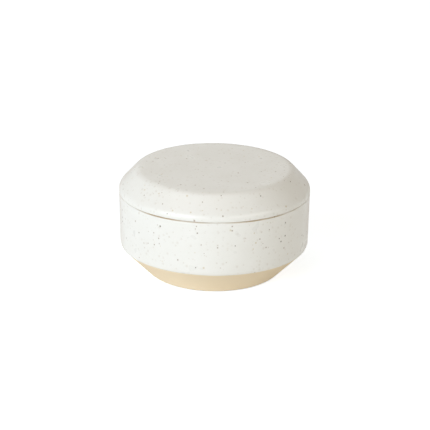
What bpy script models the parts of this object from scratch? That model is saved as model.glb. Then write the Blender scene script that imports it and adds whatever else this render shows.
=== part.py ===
"""A butter keeper in speckled stoneware: a water pot, and a lid that carries the butter bell.

The bell is a cup luted mouth down under the lid. It holds the butter, and its mouth stands in the water
in the pot. All three pieces are turned about the Z axis. Lengths are in metres, +Z is up, and the origin
is the middle of the foot, on the table.
"""

import math

import bmesh
import bpy
from mathutils import Vector

# The pot: a foot, a slope that widens to a bend, and a nearly upright wall up to the rim.
RIM_RADIUS = 0.0649
POT_HEIGHT = 0.0573
WALL_DRAW_IN = 0.0011
SLOPE_RUN = 0.0201
SLOPE_RISE = 0.0201
BEND_ROUND = 0.0071
FOOT_ROUND = 0.0089
POT_WALL = 0.0054
POT_FLOOR = 0.0056
FLOOR_ROUND = 0.0100
INNER_BEND_ROUND = 0.0080
RIM_ROUND = 0.0010

# The foot ring that it stands on, round a shallow recess.
FOOT_RING_WIDTH = 0.0095
FOOT_RECESS = 0.0016
FOOT_RING_ROUND = 0.0005

# The glaze ends at this height on the bend, in a ledge that stands out from the bare clay below.
GLAZE_LINE_HEIGHT = 0.0199
GLAZE_LEDGE = 0.0005
GLAZE_EDGE_ROUND = 0.0002

# The lid: a low upright band, a chamfered shoulder and a flat top.
LID_HEIGHT = 0.0164
BAND_HEIGHT = 0.0031
SHOULDER_RUN = 0.0119
SHOULDER_ROUND = 0.0060
TOP_ROUND = 0.0069
LID_EDGE_ROUND = 0.0008
LID_WALL = 0.0050
LID_TOP = 0.0048
CEILING_ROUND = 0.0040

# The lip under the lid drops inside the pot's mouth and centres the lid.
LIP_DEPTH = 0.0038
LIP_THICKNESS = 0.0038
LIP_CLEARANCE = 0.0009
LIP_ROUND = 0.0014
LIP_ROOT_ROUND = 0.0005

# The bell: a cup whose own base is luted to the lid's ceiling, inside a fillet of slip.
BELL_WALL = 0.0043
BELL_BASE = 0.0038
BELL_DRAFT = 0.0012
BELL_FLOOR_GAP = 0.0080
BELL_SLOPE_GAP = 0.0065
BELL_MOUTH_ROUND = 0.0018
BELL_BASE_ROUND = 0.0060
SLIP_FILLET = 0.0025
SLIP_EDGE = 0.0005

# Faces that rest on each other keep this much room.
SEAT_GAP = 0.0003

# A rounded corner's facets stray this far from its arc at most, and a turned piece has this many round it.
FACET_DEPTH = 0.00005
FACETS_ROUND = 72
WELD = 0.000001

GLAZE_COLOUR = (0.86, 0.85, 0.81, 1.0)
GLAZE_ROUGHNESS = 0.35
CLAY_COLOUR = (0.73, 0.60, 0.41, 1.0)
CLAY_ROUGHNESS = 0.8


def clear_scene():
    for item in list(bpy.data.objects):
        bpy.data.objects.remove(item)


def make_finish(name, colour, roughness):
    finish = bpy.data.materials.new(name)
    finish.use_nodes = True
    shader = finish.node_tree.nodes["Principled BSDF"]
    shader.inputs["Base Color"].default_value = colour
    shader.inputs["Roughness"].default_value = roughness
    shader.inputs["Metallic"].default_value = 0.0
    finish.diffuse_color = colour
    return finish


def shifted_corner(before, corner, after, inward):
    """The corner between two sides once both are moved to their left by this distance."""
    first = (corner - before).normalized()
    second = (after - corner).normalized()
    left_of_first = Vector((-first.y, first.x))
    left_of_second = Vector((-second.y, second.x))
    return corner + (left_of_first + left_of_second) * inward / (1 + left_of_first.dot(left_of_second))


def radius_at(low, high, height):
    """The radius at this height on the straight line through two points."""
    return low.x + (high.x - low.x) * (height - low.y) / (high.y - low.y)


def arc_corner(before, corner, after, setback):
    """The points of the arc that rounds a corner, from this far before it to this far after it."""
    back = (before - corner).normalized()
    ahead = (after - corner).normalized()
    half_angle = back.angle(ahead) / 2
    turn = math.pi - 2 * half_angle
    if setback < WELD or turn < math.radians(1):
        return [corner]
    radius = setback * math.tan(half_angle)
    centre = corner + (back + ahead).normalized() * setback / math.cos(half_angle)
    facet_turn = 2 * math.acos(max(0.0, 1 - FACET_DEPTH / radius))
    steps = max(2, math.ceil(turn / facet_turn))
    spoke = corner + back * setback - centre
    way = 1 if spoke.cross(corner - centre) > 0 else -1
    arc = []
    for step in range(steps + 1):
        angle = way * turn * step / steps
        cosine, sine = math.cos(angle), math.sin(angle)
        arc.append(centre + Vector((spoke.x * cosine - spoke.y * sine, spoke.x * sine + spoke.y * cosine)))
    return arc


def rounded_outline(corners):
    """An outline's points, from its corners (radius, height, round). Rounds that share a side fit on it."""
    points = [Vector((radius, height)) for radius, height, _ in corners]
    setbacks = [0.0]
    for before, corner, after, (_, _, corner_round) in zip(points, points[1:], points[2:], corners[1:]):
        turn = math.pi - (before - corner).angle(after - corner)
        setbacks.append(corner_round * math.tan(turn / 2))
    setbacks.append(0.0)
    shares = [1.0] * len(points)
    for side in range(len(points) - 1):
        length = (points[side + 1] - points[side]).length
        wanted = setbacks[side] + setbacks[side + 1]
        if wanted > length:
            shares[side] = min(shares[side], length / wanted)
            shares[side + 1] = min(shares[side + 1], length / wanted)
    outline = [points[0]]
    for before, corner, after, setback, share in zip(points, points[1:], points[2:], setbacks[1:], shares[1:]):
        outline += arc_corner(before, corner, after, setback * share)
    return outline + [points[-1]]


def turned(name, outline, finishes, is_bare=None):
    """A solid of revolution about Z. The faces that is_bare picks take the second finish."""
    form = bmesh.new()
    profile = [form.verts.new((point.x, 0.0, point.y)) for point in outline]
    sides = [form.edges.new(pair) for pair in zip(profile, profile[1:])]
    bmesh.ops.spin(
        form, geom=profile + sides, cent=(0, 0, 0), axis=(0, 0, 1), angle=2 * math.pi, steps=FACETS_ROUND
    )
    bmesh.ops.remove_doubles(form, verts=form.verts, dist=WELD)
    bmesh.ops.recalc_face_normals(form, faces=form.faces)
    if is_bare:
        for face in form.faces:
            centre = face.calc_center_median()
            radius = math.hypot(centre.x, centre.y)
            face.material_index = int(is_bare(radius, centre.z, face.normal.z))
    mesh = bpy.data.meshes.new(name)
    form.to_mesh(mesh)
    form.free()
    mesh.shade_smooth()
    mesh.set_sharp_from_angle(angle=math.radians(40))
    for finish in finishes:
        mesh.materials.append(finish)
    piece = bpy.data.objects.new(name, mesh)
    bpy.context.scene.collection.objects.link(piece)
    return piece


def pot_lines():
    """The pot's main corners: foot, bend and rim outside, and floor, bend and rim inside."""
    bend_radius = RIM_RADIUS - WALL_DRAW_IN
    foot = Vector((bend_radius - SLOPE_RUN, 0.0))
    bend = Vector((bend_radius, SLOPE_RISE))
    rim = Vector((RIM_RADIUS, POT_HEIGHT))
    inner_bend = shifted_corner(foot, bend, rim, POT_WALL)
    inner_rim = Vector((radius_at(inner_bend, inner_bend + rim - bend, POT_HEIGHT), POT_HEIGHT))
    floor_height = FOOT_RECESS + POT_FLOOR
    floor_edge = Vector((radius_at(inner_bend, inner_bend + bend - foot, floor_height), floor_height))
    return foot, bend, rim, floor_edge, inner_bend, inner_rim


def pot_outside(set_in):
    """The pot's outer side from the middle of the foot to the middle of the rim, drawn in by this much."""
    foot, bend, rim, _, _, inner_rim = pot_lines()
    ring_inside = foot.x - FOOT_RING_WIDTH
    return rounded_outline(
        [
            (0.0, FOOT_RECESS, 0.0),
            (ring_inside, FOOT_RECESS, FOOT_RING_ROUND),
            (ring_inside, 0.0, FOOT_RING_ROUND),
            (foot.x - set_in, 0.0, FOOT_ROUND),
            (bend.x - set_in, bend.y, BEND_ROUND),
            (rim.x - set_in, rim.y, RIM_ROUND),
            ((rim.x + inner_rim.x) / 2, rim.y, 0.0),
        ]
    )


def pot_inside():
    """The pot's inner side, from the middle of the rim to the middle of the floor."""
    _, _, rim, floor_edge, inner_bend, inner_rim = pot_lines()
    return rounded_outline(
        [
            ((rim.x + inner_rim.x) / 2, rim.y, 0.0),
            (inner_rim.x, inner_rim.y, RIM_ROUND),
            (inner_bend.x, inner_bend.y, INNER_BEND_ROUND),
            (floor_edge.x, floor_edge.y, FLOOR_ROUND),
            (0.0, floor_edge.y, 0.0),
        ]
    )


def cut_at_height(outline, height):
    """The parts of a rising outline below and above this height, with the point between them."""
    below = [point for point in outline if point.y < height - WELD]
    above = [point for point in outline if point.y > height + WELD]
    return below, Vector((radius_at(below[-1], above[0], height), height)), above


def make_water_pot(glaze, clay):
    bare, ledge_root, _ = cut_at_height(pot_outside(GLAZE_LEDGE), GLAZE_LINE_HEIGHT)
    _, ledge_corner, glazed = cut_at_height(pot_outside(0.0), GLAZE_LINE_HEIGHT)
    ledge = arc_corner(ledge_root, ledge_corner, glazed[0], GLAZE_EDGE_ROUND)
    outline = bare + [ledge_root] + ledge + glazed + pot_inside()[1:]

    def is_bare(_, height, upward):
        under_the_glaze = height < GLAZE_LINE_HEIGHT - WELD and upward < WELD
        on_the_rim = height > POT_HEIGHT - WELD
        return under_the_glaze or on_the_rim

    return turned("water_pot", outline, (glaze, clay), is_bare)


def lid_lines():
    """The lid's main corners, above its seat: seat, band and top outside, and band and ceiling inside."""
    seat = Vector((RIM_RADIUS, 0.0))
    band = Vector((RIM_RADIUS, BAND_HEIGHT))
    top = Vector((RIM_RADIUS - SHOULDER_RUN, LID_HEIGHT))
    inner_band = shifted_corner(seat, band, top, LID_WALL)
    ceiling_height = LID_HEIGHT - LID_TOP
    ceiling_edge = Vector((radius_at(inner_band, inner_band + top - band, ceiling_height), ceiling_height))
    return seat, band, top, inner_band, ceiling_edge


def make_lid(glaze, clay):
    """The lid, with its origin in the middle of its seat."""
    seat, band, top, inner_band, ceiling_edge = lid_lines()
    *_, inner_rim = pot_lines()
    lip_outside = inner_rim.x - LIP_CLEARANCE
    lip_inside = lip_outside - LIP_THICKNESS
    rise_per_run = (ceiling_edge.y - inner_band.y) / (ceiling_edge.x - inner_band.x)
    lip_root = inner_band.y + (lip_inside - inner_band.x) * rise_per_run
    outline = rounded_outline(
        [
            (0.0, ceiling_edge.y, 0.0),
            (ceiling_edge.x, ceiling_edge.y, CEILING_ROUND),
            (lip_inside, lip_root, CEILING_ROUND),
            (lip_inside, -LIP_DEPTH, LIP_ROUND),
            (lip_outside, -LIP_DEPTH, LIP_ROUND),
            (lip_outside, 0.0, LIP_ROOT_ROUND),
            (seat.x, seat.y, LID_EDGE_ROUND),
            (band.x, band.y, SHOULDER_ROUND),
            (top.x, top.y, TOP_ROUND),
            (0.0, top.y, 0.0),
        ]
    )

    def is_bare(radius, height, _):
        return height < WELD and radius > lip_outside - LIP_ROUND

    return turned("lid", outline, (glaze, clay), is_bare)


def make_butter_bell(glaze, mouth_radius, height):
    """The bell, with its origin in the middle of its base's upper face."""
    mouth = Vector((mouth_radius, -height))
    root = Vector((mouth_radius - BELL_DRAFT, -SLIP_EDGE))
    wall = (root - mouth).normalized()
    inward = Vector((-wall.y, wall.x)) * BELL_WALL
    inner_mouth_radius = radius_at(mouth + inward, root + inward, mouth.y)
    inner_base_radius = radius_at(mouth + inward, root + inward, -BELL_BASE)
    outline = rounded_outline(
        [
            (0.0, -BELL_BASE, 0.0),
            (inner_base_radius, -BELL_BASE, BELL_BASE_ROUND),
            (inner_mouth_radius, mouth.y, BELL_MOUTH_ROUND),
            (mouth.x, mouth.y, BELL_MOUTH_ROUND),
            (root.x, root.y, SLIP_FILLET),
            (root.x + SLIP_FILLET, root.y, 0.0),
            (root.x + SLIP_FILLET, 0.0, 0.0),
            (0.0, 0.0, 0.0),
        ]
    )
    return turned("butter_bell", outline, (glaze,))


def make_butter_keeper():
    clear_scene()
    glaze = make_finish("white_glaze", GLAZE_COLOUR, GLAZE_ROUGHNESS)
    clay = make_finish("bare_stoneware", CLAY_COLOUR, CLAY_ROUGHNESS)
    make_water_pot(glaze, clay)

    lid_lift = bpy.data.objects.new("lid_lift_axis", None)
    lid_lift.location.z = POT_HEIGHT + SEAT_GAP
    bpy.context.scene.collection.objects.link(lid_lift)
    lid = make_lid(glaze, clay)
    lid.parent = lid_lift

    foot, bend, _, floor_edge, inner_bend, _ = pot_lines()
    *_, ceiling_edge = lid_lines()
    bell_top = lid_lift.location.z + ceiling_edge.y - SEAT_GAP
    bell_mouth = floor_edge.y + BELL_FLOOR_GAP
    slope_radius = radius_at(inner_bend, inner_bend + bend - foot, bell_mouth)
    bell = make_butter_bell(glaze, slope_radius - BELL_SLOPE_GAP, bell_top - bell_mouth)
    bell.parent = lid_lift
    bell.location.z = bell_top - lid_lift.location.z


make_butter_keeper()
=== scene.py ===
import math

import bmesh
import bpy
from mathutils import Matrix, Vector, noise


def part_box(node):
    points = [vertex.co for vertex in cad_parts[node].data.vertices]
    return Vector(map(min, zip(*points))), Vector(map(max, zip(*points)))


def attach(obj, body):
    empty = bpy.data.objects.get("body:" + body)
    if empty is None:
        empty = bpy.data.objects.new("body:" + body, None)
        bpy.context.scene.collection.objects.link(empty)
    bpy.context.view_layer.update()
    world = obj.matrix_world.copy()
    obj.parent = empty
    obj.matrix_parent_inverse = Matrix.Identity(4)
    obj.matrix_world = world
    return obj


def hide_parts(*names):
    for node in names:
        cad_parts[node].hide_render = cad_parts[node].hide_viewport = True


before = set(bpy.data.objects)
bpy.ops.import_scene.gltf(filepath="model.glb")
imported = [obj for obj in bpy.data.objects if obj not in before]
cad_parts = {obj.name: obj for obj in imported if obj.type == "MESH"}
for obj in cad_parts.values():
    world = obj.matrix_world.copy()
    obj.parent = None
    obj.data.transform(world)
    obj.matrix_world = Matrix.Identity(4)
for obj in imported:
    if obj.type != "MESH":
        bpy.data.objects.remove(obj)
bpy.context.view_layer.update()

# Camera
# A long lens looks down at the keeper from the front. The camera leans a little to its left, so the
# pot's level lines run slightly downhill to the right.
view_elevation = math.radians(20.181)
view_lean = math.radians(0.658)
view_distance = 1.4990
view_aim = Vector((0.0005, 0.0, 0.035))
view_rise = 0.003935
view_lens = 184.0
view_film_width = 36.0

level_right = Vector((1.0, 0.0, 0.0))
level_up = Vector((0.0, math.sin(view_elevation), math.cos(view_elevation)))
view_back = Vector((0.0, -math.cos(view_elevation), math.sin(view_elevation)))
view_right = level_right * math.cos(view_lean) + level_up * math.sin(view_lean)
view_up = level_up * math.cos(view_lean) - level_right * math.sin(view_lean)

camera_data = bpy.data.cameras.new("product_camera")
camera_data.lens = view_lens
camera_data.sensor_width = view_film_width
camera = bpy.data.objects.new("product_camera", camera_data)
turned_to_view = Matrix((view_right, view_up, view_back)).transposed().to_4x4()
camera_place = view_aim + level_up * view_rise + view_back * view_distance
camera.matrix_world = Matrix.Translation(camera_place) @ turned_to_view
bpy.context.scene.collection.objects.link(camera)
bpy.context.scene.camera = camera
bpy.context.scene.view_settings.view_transform = "Standard"

# Studio
# A table as white as paper runs out of view on all sides, in a pale room. Softboxes light it: a wide cool
# one at the front left, a weaker warm one at the front right, a pale one behind, and a warm one overhead.
table_half_width = 4.0
table_squares = 8
table_colour = (0.92, 0.92, 0.91, 1.0)
table_glow = (0.57, 0.61, 0.66, 1.0)
room_light = (0.222, 0.212, 0.170, 1.0)
room_white = (1.0, 1.0, 1.0, 1.0)
softbox_distance = 1.6
# Name, azimuth and elevation in degrees, width and height in metres, power in watts, colour
softboxes = (
    ("key_softbox", -42.0, 20.0, 1.20, 1.05, 19.6, (0.835, 0.912, 1.00)),
    ("fill_softbox", 45.0, 26.0, 1.20, 0.75, 6.7, (1.00, 0.97, 0.94)),
    ("back_softbox", -150.0, 30.0, 2.00, 1.20, 4.0, (0.90, 0.98, 1.00)),
    ("ceiling_softbox", -90.0, 75.0, 1.80, 1.80, 3.0, (1.00, 0.62, 0.38)),
)


def node(tree, kind, settings, inputs):
    """A new node with its settings. Each input, by name or number, is a value or a socket to link from."""
    made = tree.nodes.new(kind)
    for setting, choice in settings.items():
        setattr(made, setting, choice)
    for label, value in inputs.items():
        if isinstance(value, bpy.types.NodeSocket):
            tree.links.new(value, made.inputs[label])
        else:
            made.inputs[label].default_value = value
    return made


def worked_out(tree, operation, *numbers):
    """The outcome of one sum on numbers or sockets."""
    return node(tree, "ShaderNodeMath", {"operation": operation}, dict(enumerate(numbers))).outputs[0]


def shown_white(tree):
    """1 for the rays that show the background, straight or in a reflection, and 0 for those that light."""
    rays = node(tree, "ShaderNodeLightPath", {}, {}).outputs
    straight = worked_out(tree, "MAXIMUM", rays["Is Camera Ray"], rays["Is Transmission Ray"])
    return worked_out(tree, "MAXIMUM", straight, rays["Is Glossy Ray"])


table_mesh = bpy.data.meshes.new("table")
form = bmesh.new()
bmesh.ops.create_grid(form, x_segments=table_squares, y_segments=table_squares, size=table_half_width)
form.to_mesh(table_mesh)
form.free()
table = bpy.data.objects.new("table", table_mesh)
bpy.context.scene.collection.objects.link(table)

table_paint = bpy.data.materials.new("white_table")
table_paint.use_nodes = True
tree = table_paint.node_tree
tree.nodes.clear()
matte = node(tree, "ShaderNodeBsdfDiffuse", {}, {"Color": table_colour})
glow = node(tree, "ShaderNodeEmission", {}, {"Color": table_glow, "Strength": shown_white(tree)})
lit = node(tree, "ShaderNodeAddShader", {}, {0: matte.outputs[0], 1: glow.outputs[0]})
clear = node(tree, "ShaderNodeBsdfTransparent", {}, {})
from_below = node(tree, "ShaderNodeNewGeometry", {}, {}).outputs["Backfacing"]
one_sided = {0: from_below, 1: lit.outputs[0], 2: clear.outputs[0]}
one_sided = node(tree, "ShaderNodeMixShader", {}, one_sided).outputs[0]
node(tree, "ShaderNodeOutputMaterial", {}, {"Surface": one_sided})
table_mesh.materials.append(table_paint)

room = bpy.data.worlds.new("studio_room")
bpy.context.scene.world = room
room.use_nodes = True
tree = room.node_tree
tree.nodes.clear()
room_colour = node(tree, "ShaderNodeMix", {"data_type": "RGBA"}, {"Factor": shown_white(tree)})
room_colour.inputs["A"].default_value = room_light
room_colour.inputs["B"].default_value = room_white
room_air = node(tree, "ShaderNodeBackground", {}, {"Color": room_colour.outputs["Result"]})
node(tree, "ShaderNodeOutputWorld", {}, {"Surface": room_air.outputs[0]})

for name, azimuth, elevation, width, height, power, tint in softboxes:
    azimuth, elevation = math.radians(azimuth), math.radians(elevation)
    outward = Vector((math.sin(azimuth), -math.cos(azimuth), 0.0)) * math.cos(elevation)
    outward.z = math.sin(elevation)
    lamp_data = bpy.data.lights.new(name, "AREA")
    lamp_data.shape = "RECTANGLE"
    lamp_data.size = width
    lamp_data.size_y = height
    lamp_data.energy = power
    lamp_data.color = tint
    lamp = bpy.data.objects.new(name, lamp_data)
    lamp.location = view_aim + outward * softbox_distance
    lamp.rotation_euler = outward.to_track_quat("Z", "Y").to_euler()
    lamp.visible_camera = False
    bpy.context.scene.collection.objects.link(lamp)

# Water pot, clay
# The pot is pressed and trimmed from a sandy stoneware that fires to a warm tan. Its slope, foot and rim
# stay bare: the slope for looks, the foot so that it doesn't stick to the kiln shelf, the rim for the lid.
# Lengths are in metres, a round is a corner's radius, and an outline's points are (radius, height).
_, pot_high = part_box("water_pot")
rim_radius = pot_high.x
pot_height = pot_high.z
wall_draw_in = 0.0009
slope_run = 0.0201
slope_rise = 0.0201
bend_round = 0.0071
foot_round = 0.0089
pot_wall = 0.0054
floor_height = 0.0072
floor_round = 0.0100
inner_bend_round = 0.0080
rim_round = 0.0006
foot_ring_width = 0.0095
foot_recess = 0.0016
foot_ring_round = 0.0005
glaze_depth = 0.0005
# The clay's colours are set paler than the fired clay, as painted light standing in for light bounced up
# from the table.
clay_colour = (0.96, 0.83, 0.63, 1.0)
clay_dark = (0.89, 0.72, 0.50, 1.0)
# The colour of the painted shade on the clay.
clay_painted_shade = (0.87, 0.74, 0.54, 1.0)
clay_grit = (0.33, 0.20, 0.11, 1.0)
# Painted shade on the clay starts at this height and is full at the next, just under the glaze line.
clay_shade_from = 0.0030
clay_shade_full_at = 0.0190

arc_step = math.radians(9)
fewest_arc_sides = 3
least_turn = math.radians(1)
sharp_from = math.radians(50)
tiny = 1e-6
longest_side = 0.0030
turns_round = 160
hand_wobble = 0.00007
wobble_size = 0.030
round_the_axis = 0.003


def shifted_corner(before, corner, after, inward):
    """The corner between two sides once both are moved to their left by this distance."""
    first = (corner - before).normalized()
    second = (after - corner).normalized()
    left_of_first = Vector((-first.y, first.x))
    left_of_second = Vector((-second.y, second.x))
    return corner + (left_of_first + left_of_second) * inward / (1 + left_of_first.dot(left_of_second))


def radius_at(low, high, height):
    """The radius at this height on the straight line through two points."""
    return low.x + (high.x - low.x) * (height - low.y) / (high.y - low.y)


def rounded_corner(before, corner, after, corner_round):
    """The points of the arc that rounds a corner between two straight sides."""
    back = (before - corner).normalized()
    ahead = (after - corner).normalized()
    half_angle = back.angle(ahead) / 2
    turn = math.pi - 2 * half_angle
    if corner_round == 0.0 or turn < least_turn:
        return [corner]
    setback = min(corner_round / math.tan(half_angle), (before - corner).length, (after - corner).length)
    radius = setback * math.tan(half_angle)
    centre = corner + (back + ahead).normalized() * radius / math.sin(half_angle)
    spoke = corner + back * setback - centre
    way = 1 if spoke.cross(corner - centre) > 0 else -1
    steps = max(fewest_arc_sides, math.ceil(turn / arc_step))
    arc = []
    for step in range(steps + 1):
        angle = way * turn * step / steps
        cosine, sine = math.cos(angle), math.sin(angle)
        arc.append(centre + Vector((spoke.x * cosine - spoke.y * sine, spoke.x * sine + spoke.y * cosine)))
    return arc


def outline_through(corners):
    """A turned piece's outline, from corners (radius, height, round), with its long sides divided."""
    points = [Vector((radius, height)) for radius, height, _ in corners]
    bent = [points[0]]
    for before, corner, after, (_, _, corner_round) in zip(points, points[1:], points[2:], corners[1:]):
        bent += rounded_corner(before, corner, after, corner_round)
    bent.append(points[-1])
    outline = [bent[0]]
    for start, end in zip(bent, bent[1:]):
        parts = max(1, math.ceil((end - start).length / longest_side))
        outline += [start.lerp(end, part / parts) for part in range(1, parts + 1)]
    return outline


def uneven(place):
    """A point moved by the slow unevenness of a hand-finished wall: outwards, or upwards at the axis."""
    swell = noise.noise(place / wobble_size) * hand_wobble
    outward = Vector((place.x, place.y, 0.0))
    if outward.length < round_the_axis:
        return place + Vector((0.0, 0.0, swell))
    return place + outward.normalized() * swell


def turned(name, outline, material, browned_and_shaded=None, drift=None):
    """A smooth piece turned about Z: a solid if its outline runs from axis to axis, and else a closed ring.

    The fourth argument says how far browning and painted shade darken each point of the outline, and drift
    is a function of a point and an angle that gives how far the point strays along the surface at that
    angle.
    """
    form = bmesh.new()
    browning_and_shade = form.verts.layers.float.new("browning_and_shade")
    rings = []
    for number, point in enumerate(outline):
        ring = []
        for turn in range(turns_round):
            angle = 2 * math.pi * turn / turns_round
            stray = drift(point, angle) if drift else Vector((0.0, 0.0))
            radius, height = point + stray
            if radius < tiny:
                ring = [form.verts.new((0.0, 0.0, height))] * turns_round
                break
            place = Vector((radius * math.cos(angle), radius * math.sin(angle), height))
            ring.append(form.verts.new(uneven(place)))
        for corner in set(ring):
            corner[browning_and_shade] = browned_and_shaded[number] if browned_and_shaded else 0.0
        rings.append(ring)
    pairs = list(zip(rings, rings[1:]))
    if outline[0].x > tiny:
        pairs.append((rings[-1], rings[0]))
    for lower, upper in pairs:
        for turn in range(turns_round):
            after = (turn + 1) % turns_round
            form.faces.new(list(dict.fromkeys([lower[turn], lower[after], upper[after], upper[turn]])))
    bmesh.ops.recalc_face_normals(form, faces=form.faces)
    mesh = bpy.data.meshes.new(name)
    form.to_mesh(mesh)
    form.free()
    mesh.shade_smooth()
    mesh.set_sharp_from_angle(angle=sharp_from)
    mesh.materials.append(material)
    piece = bpy.data.objects.new(name, mesh)
    bpy.context.scene.collection.objects.link(piece)
    return piece


def pot_lines(under):
    """The pot's main corners, this far under its skin: foot, bend, rim, and floor, bend and rim inside."""
    bend_radius = rim_radius - wall_draw_in
    foot = Vector((bend_radius - slope_run, 0.0))
    bend = Vector((bend_radius, slope_rise))
    rim = Vector((rim_radius, pot_height))
    inner_bend = shifted_corner(foot, bend, rim, pot_wall - under)
    inner_rim = Vector((radius_at(inner_bend, inner_bend + rim - bend, pot_height), pot_height))
    floor_level = floor_height - under
    floor_edge = Vector((radius_at(inner_bend, inner_bend + bend - foot, floor_level), floor_level))
    inward = Vector((under, 0.0))
    return foot - inward, bend - inward, rim - inward, floor_edge, inner_bend, inner_rim


rim_middle = (rim_radius + pot_lines(0.0)[-1].x) / 2


def pot_outside(under, rim_drop=0.0):
    """The pot's outer side, from the middle of the foot to the middle of the rim."""
    foot, bend, rim, *_ = pot_lines(under)
    ring_inside = pot_lines(0.0)[0].x - foot_ring_width
    return outline_through(
        [
            (0.0, foot_recess, 0.0),
            (ring_inside, foot_recess, foot_ring_round),
            (ring_inside, 0.0, foot_ring_round),
            (foot.x, 0.0, foot_round),
            (bend.x, bend.y, bend_round),
            (rim.x, rim.y - rim_drop, rim_round),
            (rim_middle, rim.y - rim_drop, 0.0),
        ]
    )


def pot_inside(under, rim_drop=0.0):
    """The pot's inner side, from the middle of the rim to the middle of the floor."""
    *_, floor_edge, inner_bend, inner_rim = pot_lines(under)
    return outline_through(
        [
            (rim_middle, pot_height - rim_drop, 0.0),
            (inner_rim.x, pot_height - rim_drop, rim_round),
            (inner_bend.x, inner_bend.y, inner_bend_round),
            (floor_edge.x, floor_edge.y, floor_round),
            (0.0, floor_edge.y, 0.0),
        ]
    )


def new_group(name, inputs, outputs):
    """A shader node group with number inputs (name, value) and number outputs, and its two ends."""
    group = bpy.data.node_groups.new(name, "ShaderNodeTree")
    for label, value in inputs:
        socket = group.interface.new_socket(label, in_out="INPUT", socket_type="NodeSocketFloat")
        socket.default_value = value
    for label in outputs:
        group.interface.new_socket(label, in_out="OUTPUT", socket_type="NodeSocketFloat")
    return group, group.nodes.new("NodeGroupInput"), group.nodes.new("NodeGroupOutput")


def mixed(tree, share, first, second):
    """Two colours, mixed by a share from 0 to 1."""
    blend = node(tree, "ShaderNodeMix", {"data_type": "RGBA"}, {"Factor": share})
    for socket, colour in ((blend.inputs["A"], first), (blend.inputs["B"], second)):
        if isinstance(colour, bpy.types.NodeSocket):
            tree.links.new(colour, socket)
        else:
            socket.default_value = colour
    return blend.outputs["Result"]


cloud_roughness = 0.6


def clouds(tree, place, per_metre, detail=2.0, low=0.0, high=1.0, least=0.0, most=1.0):
    """Soft random patches, stretched from between low and high to between least and most."""
    cloud = {"Vector": place, "Scale": per_metre, "Detail": detail, "Roughness": cloud_roughness}
    cloud = node(tree, "ShaderNodeTexNoise", {}, cloud)
    values = {"Value": cloud.outputs[0], "From Min": low, "From Max": high, "To Min": least, "To Max": most}
    return node(tree, "ShaderNodeMapRange", {}, values).outputs[0]


def relief(tree, height, strength, depth):
    """The normals of a surface that rises by this depth where the height is 1."""
    values = {"Strength": strength, "Distance": depth, "Height": height}
    return node(tree, "ShaderNodeBump", {}, values).outputs[0]


# Grains of iron in the clay burn through as specks, at random places and in clumps. Each has a dark
# heart, and a halo where it melted into what lies round it. A part of a speck is whole up to its first
# share of the grain's radius, and gone at its second.
jagged_per_metre = 2200.0
jagged_by = 0.00022
clumps_per_metre = 55.0
smallest_grain = 0.5
grain_range = 0.8
speck_parts = (("Heart", 0.5, 1.05), ("Halo", 0.3, 1.9))
specks, given, gives = new_group(
    "iron_specks",
    [("Spacing", 0.004), ("Radius", 0.0004), ("Share", 0.5), ("Clumping", 0.5), ("Offset", 0.0)],
    ["Heart", "Halo", "Tone"],
)
grain_place = node(specks, "ShaderNodeTexCoord", {}, {}).outputs["Object"]
jagged = {"Vector": grain_place, "Scale": jagged_per_metre, "Detail": 1.0}
jagged = node(specks, "ShaderNodeTexNoise", {}, jagged).outputs["Color"]
jag = {0: jagged, 1: (jagged_by, jagged_by, jagged_by), 2: grain_place}
grain_place = node(specks, "ShaderNodeVectorMath", {"operation": "MULTIPLY_ADD"}, jag).outputs[0]
apart = {0: grain_place, 1: given.outputs["Offset"]}
grain_place = node(specks, "ShaderNodeVectorMath", {"operation": "ADD"}, apart).outputs[0]
per_metre = worked_out(specks, "DIVIDE", 1.0, given.outputs["Spacing"])
grains = node(specks, "ShaderNodeTexVoronoi", {}, {"Vector": grain_place, "Scale": per_metre})
away = worked_out(specks, "MULTIPLY", grains.outputs["Distance"], given.outputs["Spacing"])
chances = node(specks, "ShaderNodeSeparateColor", {}, {"Color": grains.outputs["Color"]})
middle = grains.outputs["Position"]
clumped = clouds(specks, middle, per_metre=clumps_per_metre, detail=1.0, low=0.3, high=0.7, least=-1.0)
share = worked_out(specks, "MULTIPLY_ADD", clumped, given.outputs["Clumping"], 1.0)
share = worked_out(specks, "MULTIPLY", share, given.outputs["Share"])
is_speck = worked_out(specks, "LESS_THAN", chances.outputs["Green"], share)
reach = worked_out(specks, "MULTIPLY_ADD", chances.outputs["Red"], grain_range, smallest_grain)
reach = worked_out(specks, "MULTIPLY", reach, given.outputs["Radius"])
for label, whole_to, gone_at in speck_parts:
    fade = {
        "Value": away,
        "From Min": worked_out(specks, "MULTIPLY", reach, whole_to),
        "From Max": worked_out(specks, "MULTIPLY", reach, gone_at),
        "To Min": 1.0,
        "To Max": 0.0,
    }
    fade = node(specks, "ShaderNodeMapRange", {"interpolation_type": "SMOOTHSTEP"}, fade).outputs[0]
    specks.links.new(worked_out(specks, "MULTIPLY", fade, is_speck), gives.inputs[label])
specks.links.new(chances.outputs["Blue"], gives.inputs["Tone"])


# Painted shade darkens a surface's colour as it turns edge-on to the view, from the first facing to the
# second.
edge_blend = 0.5
edge_on_from = 0.66
edge_on_full = 0.97


def painted_edge_on_shade(tree, colour, edge_colour, most):
    """The colour with painted shade, darker where the surface is seen nearly edge-on."""
    facing = node(tree, "ShaderNodeLayerWeight", {}, {"Blend": edge_blend}).outputs["Facing"]
    edge_on = {"Value": facing, "From Min": edge_on_from, "From Max": edge_on_full, "To Max": most}
    edge_on = node(tree, "ShaderNodeMapRange", {"interpolation_type": "SMOOTHSTEP"}, edge_on).outputs[0]
    return mixed(tree, edge_on, colour, edge_colour)


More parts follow.
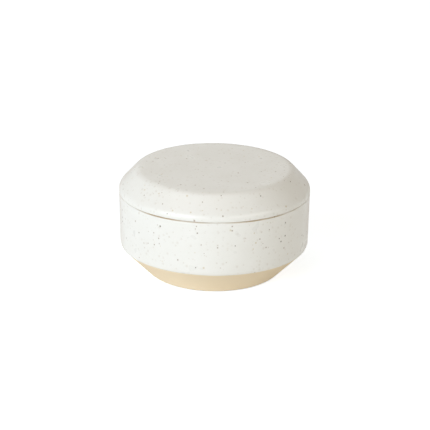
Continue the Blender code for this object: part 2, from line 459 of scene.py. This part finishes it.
def with_specks(tree, spacing, radius, share, clumping, offset):
    """The iron specks in a material: how far apart, how large, how many, how clumped, and where."""
    values = {"Spacing": spacing, "Radius": radius, "Share": share, "Clumping": clumping, "Offset": offset}
    return node(tree, "ShaderNodeGroup", {"node_tree": specks}, values)


# How strong the painted shade is where the clay is seen edge-on.
clay_edge_on_shade_strength = 0.12
grit_strength = 0.45
trimming_stretch = (25.0, 25.0, 1500.0)
clay_relief_strength = 0.35
clay_relief_depth = 0.00008
clay_roughness = 0.82
clay_shine = 0.35

bare_clay = bpy.data.materials.new("bare_sandy_stoneware")
bare_clay.use_nodes = True
tree = bare_clay.node_tree
shader = tree.nodes["Principled BSDF"]
place = node(tree, "ShaderNodeTexCoord", {}, {}).outputs["Object"]
drifts = clouds(tree, place, per_metre=60.0, detail=3.0, low=0.35, high=0.75, most=0.3)
colour = mixed(tree, drifts, clay_colour, clay_dark)
sand = clouds(tree, place, per_metre=1900.0, low=0.45, high=0.8, most=0.35)
colour = mixed(tree, sand, colour, clay_dark)
grit = with_specks(tree, spacing=0.0021, radius=0.00016, share=0.35, clumping=0.4, offset=3.1)
grit_share = worked_out(tree, "MULTIPLY", grit.outputs["Heart"], grit_strength)
colour = mixed(tree, grit_share, colour, clay_grit)
# Painted shade darkens the pot's clay from near the foot up to the glaze line.
browning_and_shade = node(tree, "ShaderNodeAttribute", {"attribute_name": "browning_and_shade"}, {}).outputs["Fac"]
colour = mixed(tree, browning_and_shade, colour, clay_painted_shade)
# Painted shade darkens the clay towards the grit's colour where it is seen nearly edge-on.
colour = painted_edge_on_shade(tree, colour, clay_grit, clay_edge_on_shade_strength)
tree.links.new(colour, shader.inputs["Base Color"])
round_and_round = {"Vector": place, "Scale": trimming_stretch}
round_and_round = node(tree, "ShaderNodeMapping", {}, round_and_round).outputs[0]
trimming = clouds(tree, round_and_round, per_metre=1.0, most=1.2)
bumps = worked_out(tree, "ADD", trimming, sand)
bumps = relief(tree, bumps, clay_relief_strength, clay_relief_depth)
tree.links.new(bumps, shader.inputs["Normal"])
shader.inputs["Roughness"].default_value = clay_roughness
shader.inputs["Specular IOR Level"].default_value = clay_shine

outer_clay, inner_clay = pot_outside(glaze_depth), pot_inside(glaze_depth)[1:]
# Painted shade on the outer clay grows from 3 mm up to 19 mm, under the glaze line; the inside takes none.
clay_shade_run = clay_shade_full_at - clay_shade_from
clay_shade_by_point = [min(1.0, max(0.0, (point.y - clay_shade_from) / clay_shade_run)) for point in outer_clay]
clay_shade_by_point += [0.0] * len(inner_clay)
pot_clay = turned("water_pot_clay", outer_clay + inner_clay, bare_clay, clay_shade_by_point)
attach(pot_clay, "pot")
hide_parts("water_pot")

# Water pot, glaze
# The fired pot is dipped rim first in a satin white glaze, down to a level line on the bend. The glaze
# gathers in a soft bead at that line, and pulls thin over tight edges, where the clay warms it. Those
# edges are painted dark brown: the thin glaze's own colour, with painted shade that darkens the seam
# between lid and pot, unevenly.
glaze_line_height = 0.0199
glaze_edge_round = 0.00030
glaze_bite = 0.00010
glaze_tuck = 0.00030
bead_height = 0.00008
bead_middle = 0.0006
line_waver = 0.00018
line_waver_reach = 0.0035
line_waver_lobes = 2.2
line_waver_slice = 0.3
# Edges that bend tighter than these take the thin glaze's brown and painted shade, in patches.
thin_from_bend = 250.0
thin_until_bend = 1000.0
thin_and_shade_patches_offset = 10.3
thin_and_shade_patches_per_metre = 34.51
glaze_colour = (0.86, 0.85, 0.81, 1.0)
glaze_shade = (0.80, 0.785, 0.73, 1.0)
# The colour of the painted shade where the glaze is seen edge-on.
glaze_edge_on_shade_colour = (0.50, 0.42, 0.34, 1.0)
# The brown of thin glaze over the clay, darkened with painted shade for the seam between lid and pot.
thin_glaze_and_seam_shade_colour = (0.50, 0.39, 0.26, 1.0)
speck_rust_colour = (0.22, 0.10, 0.045, 1.0)
speck_heart_colour = (0.055, 0.045, 0.036, 1.0)
speck_halo_colour = (0.46, 0.38, 0.28, 1.0)
ochre_speck_colour = (0.52, 0.40, 0.17, 1.0)
deep_speck_colour = (0.60, 0.54, 0.46, 1.0)
speck_halo_strength = 0.45
speck_heart_least = 0.5
speck_heart_range = 0.5
speck_heart_roughness = 0.2
speck_heart_pit = -0.4
ochre_speck_strength = 0.55
ochre_speck_shift = 5.2
ochre_part_of_faint = 0.4
deep_speck_strength = 0.30
deep_speck_shift = 1.7
# How strong the painted shade is where the glaze is seen edge-on.
glaze_edge_on_shade_strength = 0.5
glaze_relief_strength = 0.4
glaze_relief_depth = 0.00010


# The thinness sets where the thin glaze's brown and the painted seam shade go.
def thin_glaze_and_seam_shade_along(skin):
    """How thin the glaze lies at each point of its skin: 1 over a tight outer edge, 0 on gentle curves."""
    thin_glaze_and_seam_shade = []
    for before, point, after in zip([skin[0]] + skin, skin, skin[1:] + [skin[-1]]):
        first, second = point - before, after - point
        if min(first.length, second.length) < tiny:
            thin_glaze_and_seam_shade.append(0.0)
            continue
        turn = math.asin(max(-1.0, min(1.0, first.normalized().cross(second.normalized()))))
        bend_per_metre = 2 * turn / (first.length + second.length)
        thin = (bend_per_metre - thin_from_bend) / (thin_until_bend - thin_from_bend)
        thin_glaze_and_seam_shade.append(min(1.0, max(0.0, thin)))
    return thin_glaze_and_seam_shade


def glaze_coat(name, skin, back, material, drift=None):
    """A coat of glaze between its skin and its back, which is sunk in the clay and runs the same way.

    Where the coat lies thin, the clay shows through and browns it, and painted shade darkens the seam there.
    """
    thin_glaze_and_seam_shade = thin_glaze_and_seam_shade_along(skin)
    if skin[-1].x < tiny:
        return turned(name, skin[::-1] + back, material, thin_glaze_and_seam_shade[::-1] + [0.0] * len(back), drift)
    return turned(name, skin + back[::-1], material, thin_glaze_and_seam_shade + [0.0] * len(back), drift)


def above_the_line(outline):
    """The part of the pot's outer side that is dipped, without the middle of the rim."""
    first = next(number for number, point in enumerate(outline) if point.y > glaze_line_height)
    at_line = Vector((radius_at(outline[first - 1], outline[first], glaze_line_height), glaze_line_height))
    return [at_line] + outline[first:-1]


def beaded(skin, back):
    """The skin with its lower edge rounded off, and the glaze gathered just above it."""
    edge = skin[0]
    apart = 2 * glaze_edge_round
    far_enough = next(number for number, point in enumerate(skin) if (point - edge).length > apart)
    rolled = rounded_corner(back[0], edge, skin[far_enough], glaze_edge_round) + skin[far_enough:]
    gathered = []
    for before, point, after in zip([rolled[0]] + rolled, rolled, rolled[1:] + [rolled[-1]]):
        way = (after - before).normalized()
        swell = math.exp(-((((point - edge).length - bead_middle) / bead_middle) ** 2))
        gathered.append(point + Vector((way.y, -way.x)) * bead_height * swell)
    return gathered


def wavering(point, angle):
    """How far the glaze line strays along the bend at an angle round the pot."""
    nearness = 1 - (point.y - glaze_line_height) / line_waver_reach
    if nearness <= 0.0:
        return Vector((0.0, 0.0))
    round_the_pot = Vector((math.cos(angle), math.sin(angle), line_waver_slice))
    lobes = noise.noise(round_the_pot * line_waver_lobes)
    return along_the_bend * lobes * line_waver * min(1.0, nearness)


def speckled_glaze(name, dark_share, faint_share, offset):
    """The satin white glaze, with how many of the grains in it show dark or faint, and where they fall."""
    glaze = bpy.data.materials.new(name)
    glaze.use_nodes = True
    tree = glaze.node_tree
    shader = tree.nodes["Principled BSDF"]
    place = node(tree, "ShaderNodeTexCoord", {}, {}).outputs["Object"]
    drifts = clouds(tree, place, per_metre=45.0, detail=3.0, low=0.35, high=0.75, most=0.35)
    colour = mixed(tree, drifts, glaze_colour, glaze_shade)
    mottle = clouds(tree, place, per_metre=420.0, low=0.5, high=0.8, most=0.25)
    colour = mixed(tree, mottle, colour, glaze_shade)
    # Thin glaze over tight edges shows the clay's brown, with painted shade for the seam; patches make it
    # uneven.
    thin_glaze_and_seam_shade = node(tree, "ShaderNodeAttribute", {"attribute_name": "browning_and_shade"}, {}).outputs["Fac"]
    patches_place = {0: place, 1: (thin_and_shade_patches_offset, thin_and_shade_patches_offset, thin_and_shade_patches_offset)}
    patches_place = node(tree, "ShaderNodeVectorMath", {"operation": "ADD"}, patches_place).outputs[0]
    patches = clouds(
        tree, patches_place, per_metre=thin_and_shade_patches_per_metre, detail=1.0, low=0.36, high=0.70, most=1.1
    )
    colour = mixed(tree, worked_out(tree, "MULTIPLY", thin_glaze_and_seam_shade, patches), colour, thin_glaze_and_seam_shade_colour)
    # Painted shade darkens the glaze where it is seen nearly edge-on.
    colour = painted_edge_on_shade(tree, colour, glaze_edge_on_shade_colour, glaze_edge_on_shade_strength)
    # Deep grains show faintly, some leave an ochre stain, and those at the surface are dark.
    shifted = offset + deep_speck_shift
    deep = with_specks(tree, spacing=0.0030, radius=0.00060, share=faint_share, clumping=0.4, offset=shifted)
    deep_share = worked_out(tree, "MULTIPLY", deep.outputs["Halo"], deep_speck_strength)
    colour = mixed(tree, deep_share, colour, deep_speck_colour)
    share = faint_share * ochre_part_of_faint
    shifted = offset + ochre_speck_shift
    ochre = with_specks(tree, spacing=0.0044, radius=0.00045, share=share, clumping=0.6, offset=shifted)
    ochre_share = worked_out(tree, "MULTIPLY", ochre.outputs["Halo"], ochre_speck_strength)
    colour = mixed(tree, ochre_share, colour, ochre_speck_colour)
    dark = with_specks(tree, spacing=0.0032, radius=0.00050, share=dark_share, clumping=0.8, offset=offset)
    halo_share = worked_out(tree, "MULTIPLY", dark.outputs["Halo"], speck_halo_strength)
    colour = mixed(tree, halo_share, colour, speck_halo_colour)
    tone = dark.outputs["Tone"]
    heart_share = worked_out(tree, "MULTIPLY_ADD", tone, speck_heart_range, speck_heart_least)
    heart_share = worked_out(tree, "MULTIPLY", heart_share, dark.outputs["Heart"])
    heart_colour = mixed(tree, tone, speck_rust_colour, speck_heart_colour)
    colour = mixed(tree, heart_share, colour, heart_colour)
    tree.links.new(colour, shader.inputs["Base Color"])
    sheen = clouds(tree, place, per_metre=90.0, low=0.3, high=0.7, least=0.27, most=0.36)
    roughness = worked_out(tree, "MULTIPLY_ADD", dark.outputs["Heart"], speck_heart_roughness, sheen)
    tree.links.new(roughness, shader.inputs["Roughness"])
    ripples = clouds(tree, place, per_metre=240.0)
    pores = clouds(tree, place, per_metre=900.0, detail=1.0, most=0.3)
    peel = worked_out(tree, "ADD", ripples, pores)
    bumps = worked_out(tree, "MULTIPLY_ADD", dark.outputs["Heart"], speck_heart_pit, peel)
    bumps = relief(tree, bumps, glaze_relief_strength, glaze_relief_depth)
    tree.links.new(bumps, shader.inputs["Normal"])
    return glaze


pot_glaze = speckled_glaze("speckled_white_glaze_pot", dark_share=0.46, faint_share=0.58, offset=1.3536)
outer_back = above_the_line(pot_outside(glaze_depth + glaze_bite, glaze_tuck))
outer_skin = above_the_line(pot_outside(0.0))
along_the_bend = (outer_skin[2] - outer_skin[0]).normalized()
outer_skin = beaded(outer_skin, outer_back)
outer_coat = glaze_coat("water_pot_glaze_outside", outer_skin, outer_back, pot_glaze, wavering)
# The outlines' first points are in the middle of the rim, which is wiped clean.
inner_coat = glaze_coat(
    "water_pot_glaze_inside",
    pot_inside(0.0)[1:],
    pot_inside(glaze_depth + glaze_bite, glaze_tuck)[1:],
    pot_glaze,
)
for coat in (outer_coat, inner_coat):
    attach(coat, "pot")
    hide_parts("water_pot")

# Lid, clay
# The lid is pressed in the same clay, and a lip under it drops inside the pot's mouth. Its seat and the
# outer side of the lip are wiped clean, since glaze there would weld it to the pot in the kiln.
lid_low, lid_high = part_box("lid")
lip_depth = 0.0038
lip_thickness = 0.0038
lip_clearance = 0.0009
lip_round = 0.0014
lip_root_round = 0.0005
seat_height = lid_low.z + lip_depth
band_height = 0.0034
shoulder_run = 0.0119
shoulder_round = 0.0055
top_round = 0.0069
lid_edge_round = 0.00012
lid_wall = 0.0050
lid_thickness = 0.0048
ceiling_round = 0.0040
lip_outside = pot_lines(0.0)[-1].x - lip_clearance


def lid_outline(under, tuck=0.0):
    """The lid from its ceiling's middle, round the lip, seat and shoulder, to the middle of its top."""
    seat = Vector((rim_radius, seat_height))
    band = Vector((rim_radius, seat_height + band_height))
    top = Vector((rim_radius - shoulder_run, lid_high.z))
    middle = Vector((0.0, lid_high.z))
    outer_band = shifted_corner(seat, band, top, under)
    outer_top = shifted_corner(band, top, middle, under)
    inner_band = shifted_corner(seat, band, top, lid_wall - under)
    ceiling = lid_high.z - lid_thickness + under
    ceiling_edge = Vector((radius_at(inner_band, inner_band + top - band, ceiling), ceiling))
    lip_inside = lip_outside - lip_thickness + under
    rise_per_run = (top.y - band.y) / (top.x - band.x)
    lip_root = inner_band.y + (lip_inside - inner_band.x) * rise_per_run
    return outline_through(
        [
            (0.0, ceiling, 0.0),
            (ceiling_edge.x, ceiling, ceiling_round),
            (lip_inside, lip_root, ceiling_round),
            (lip_inside, lid_low.z + under, lip_round),
            (lip_outside - tuck, lid_low.z + under, lip_round),
            (lip_outside - tuck, seat_height + tuck, lip_root_round),
            (rim_radius - under, seat_height + tuck, lid_edge_round),
            (outer_band.x, outer_band.y, shoulder_round),
            (outer_top.x, outer_top.y, top_round),
            (0.0, lid_high.z - under, 0.0),
        ]
    )


lid_clay = turned("lid_clay", lid_outline(glaze_depth), bare_clay)
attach(lid_clay, "lid")
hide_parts("lid")

# Lid, glaze
# The lid is glazed over its top down to the edge of its seat, and all over its underside. Fewer grains of
# iron show in it than in the pot.
lid_glaze = speckled_glaze("speckled_white_glaze_lid", dark_share=0.20, faint_share=0.70, offset=1.5454)
lid_skin = lid_outline(0.0)
lid_back = lid_outline(glaze_depth + glaze_bite, glaze_tuck)


def over_the_lid(outline):
    """The part of the lid's outline from its lower edge to the middle of its top."""
    first = next(number for number, point in enumerate(outline) if point.x > rim_radius - 2 * glaze_depth)
    return outline[first:]


def under_the_lid(outline):
    """The part of the lid's outline from the middle of its ceiling to the outer side of its lip."""
    last = max(number for number, point in enumerate(outline) if point.y < seat_height - 2 * lip_root_round)
    return outline[: last + 1]


over_skin, over_back = over_the_lid(lid_skin), over_the_lid(lid_back)
over_coat = glaze_coat("lid_glaze_outside", over_skin, over_back, lid_glaze)
under_skin, under_back = under_the_lid(lid_skin), under_the_lid(lid_back)
under_coat = glaze_coat("lid_glaze_underside", under_skin, under_back, lid_glaze)
for coat in (over_coat, under_coat):
    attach(coat, "lid")
    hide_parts("lid")

# Butter bell, clay
# The bell is a cup made apart, and luted mouth down to the lid's ceiling with slip. The lid stands on its
# mouth in the kiln, so the mouth is wiped clean of glaze.
bell_low, bell_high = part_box("butter_bell")
bell_wall = 0.0043
bell_base = 0.0038
bell_draft = 0.0012
bell_mouth_round = 0.0018
bell_base_round = 0.0060
slip_fillet = 0.0025
slip_sunk = 0.00015
ceiling_height = lid_high.z - lid_thickness
mouth_radius = bell_high.x - slip_fillet + bell_draft
mouth_middle = mouth_radius - bell_wall / 2


def bell_outside(under, tuck=0.0):
    """The bell's outer side, from the middle of its mouth to the ceiling, which the slip runs out on."""
    mouth = Vector((mouth_radius - under, bell_low.z + tuck))
    root = Vector((mouth_radius - bell_draft - under, ceiling_height + slip_sunk + under))
    return outline_through(
        [
            (mouth_middle, mouth.y, 0.0),
            (mouth.x, mouth.y, bell_mouth_round),
            (root.x, root.y, slip_fillet),
            (root.x + slip_fillet, root.y, 0.0),
        ]
    )


def bell_inside(under, tuck=0.0):
    """The bell's inner side, from the middle of its base to the middle of its mouth."""
    mouth = Vector((mouth_radius, bell_low.z))
    root = Vector((mouth_radius - bell_draft, ceiling_height))
    wall = (root - mouth).normalized()
    inward = Vector((-wall.y, wall.x)) * (bell_wall - under)
    base = bell_high.z - bell_base + under
    return outline_through(
        [
            (0.0, base, 0.0),
            (radius_at(mouth + inward, root + inward, base), base, bell_base_round),
            (radius_at(mouth + inward, root + inward, mouth.y), mouth.y + tuck, bell_mouth_round),
            (mouth_middle, mouth.y + tuck, 0.0),
        ]
    )


bell_clay_outline = bell_inside(glaze_depth) + bell_outside(glaze_depth)[1:-1]
bell_clay_outline.append(Vector((0.0, bell_clay_outline[-1].y)))
bell_clay = turned("butter_bell_clay", bell_clay_outline, bare_clay)
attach(bell_clay, "lid")
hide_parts("butter_bell")

# Butter bell, glaze
# The same white glaze covers the bell inside and out, so that butter doesn't soak into the clay. It is
# poured in and swilled, and outside it runs over the slip onto the lid's ceiling.
bell_glaze = speckled_glaze("speckled_white_glaze_bell", dark_share=0.28, faint_share=0.60, offset=21.0)
# The middle of the mouth ends the inner outline and begins the outer one, and stays bare.
bell_outer_coat = glaze_coat(
    "butter_bell_glaze_outside",
    bell_outside(0.0)[1:],
    bell_outside(glaze_depth + glaze_bite, glaze_tuck)[1:],
    bell_glaze,
)
bell_inner_coat = glaze_coat(
    "butter_bell_glaze_inside",
    bell_inside(0.0)[:-1],
    bell_inside(glaze_depth + glaze_bite, glaze_tuck)[:-1],
    bell_glaze,
)
for coat in (bell_outer_coat, bell_inner_coat):
    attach(coat, "lid")
    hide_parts("butter_bell")
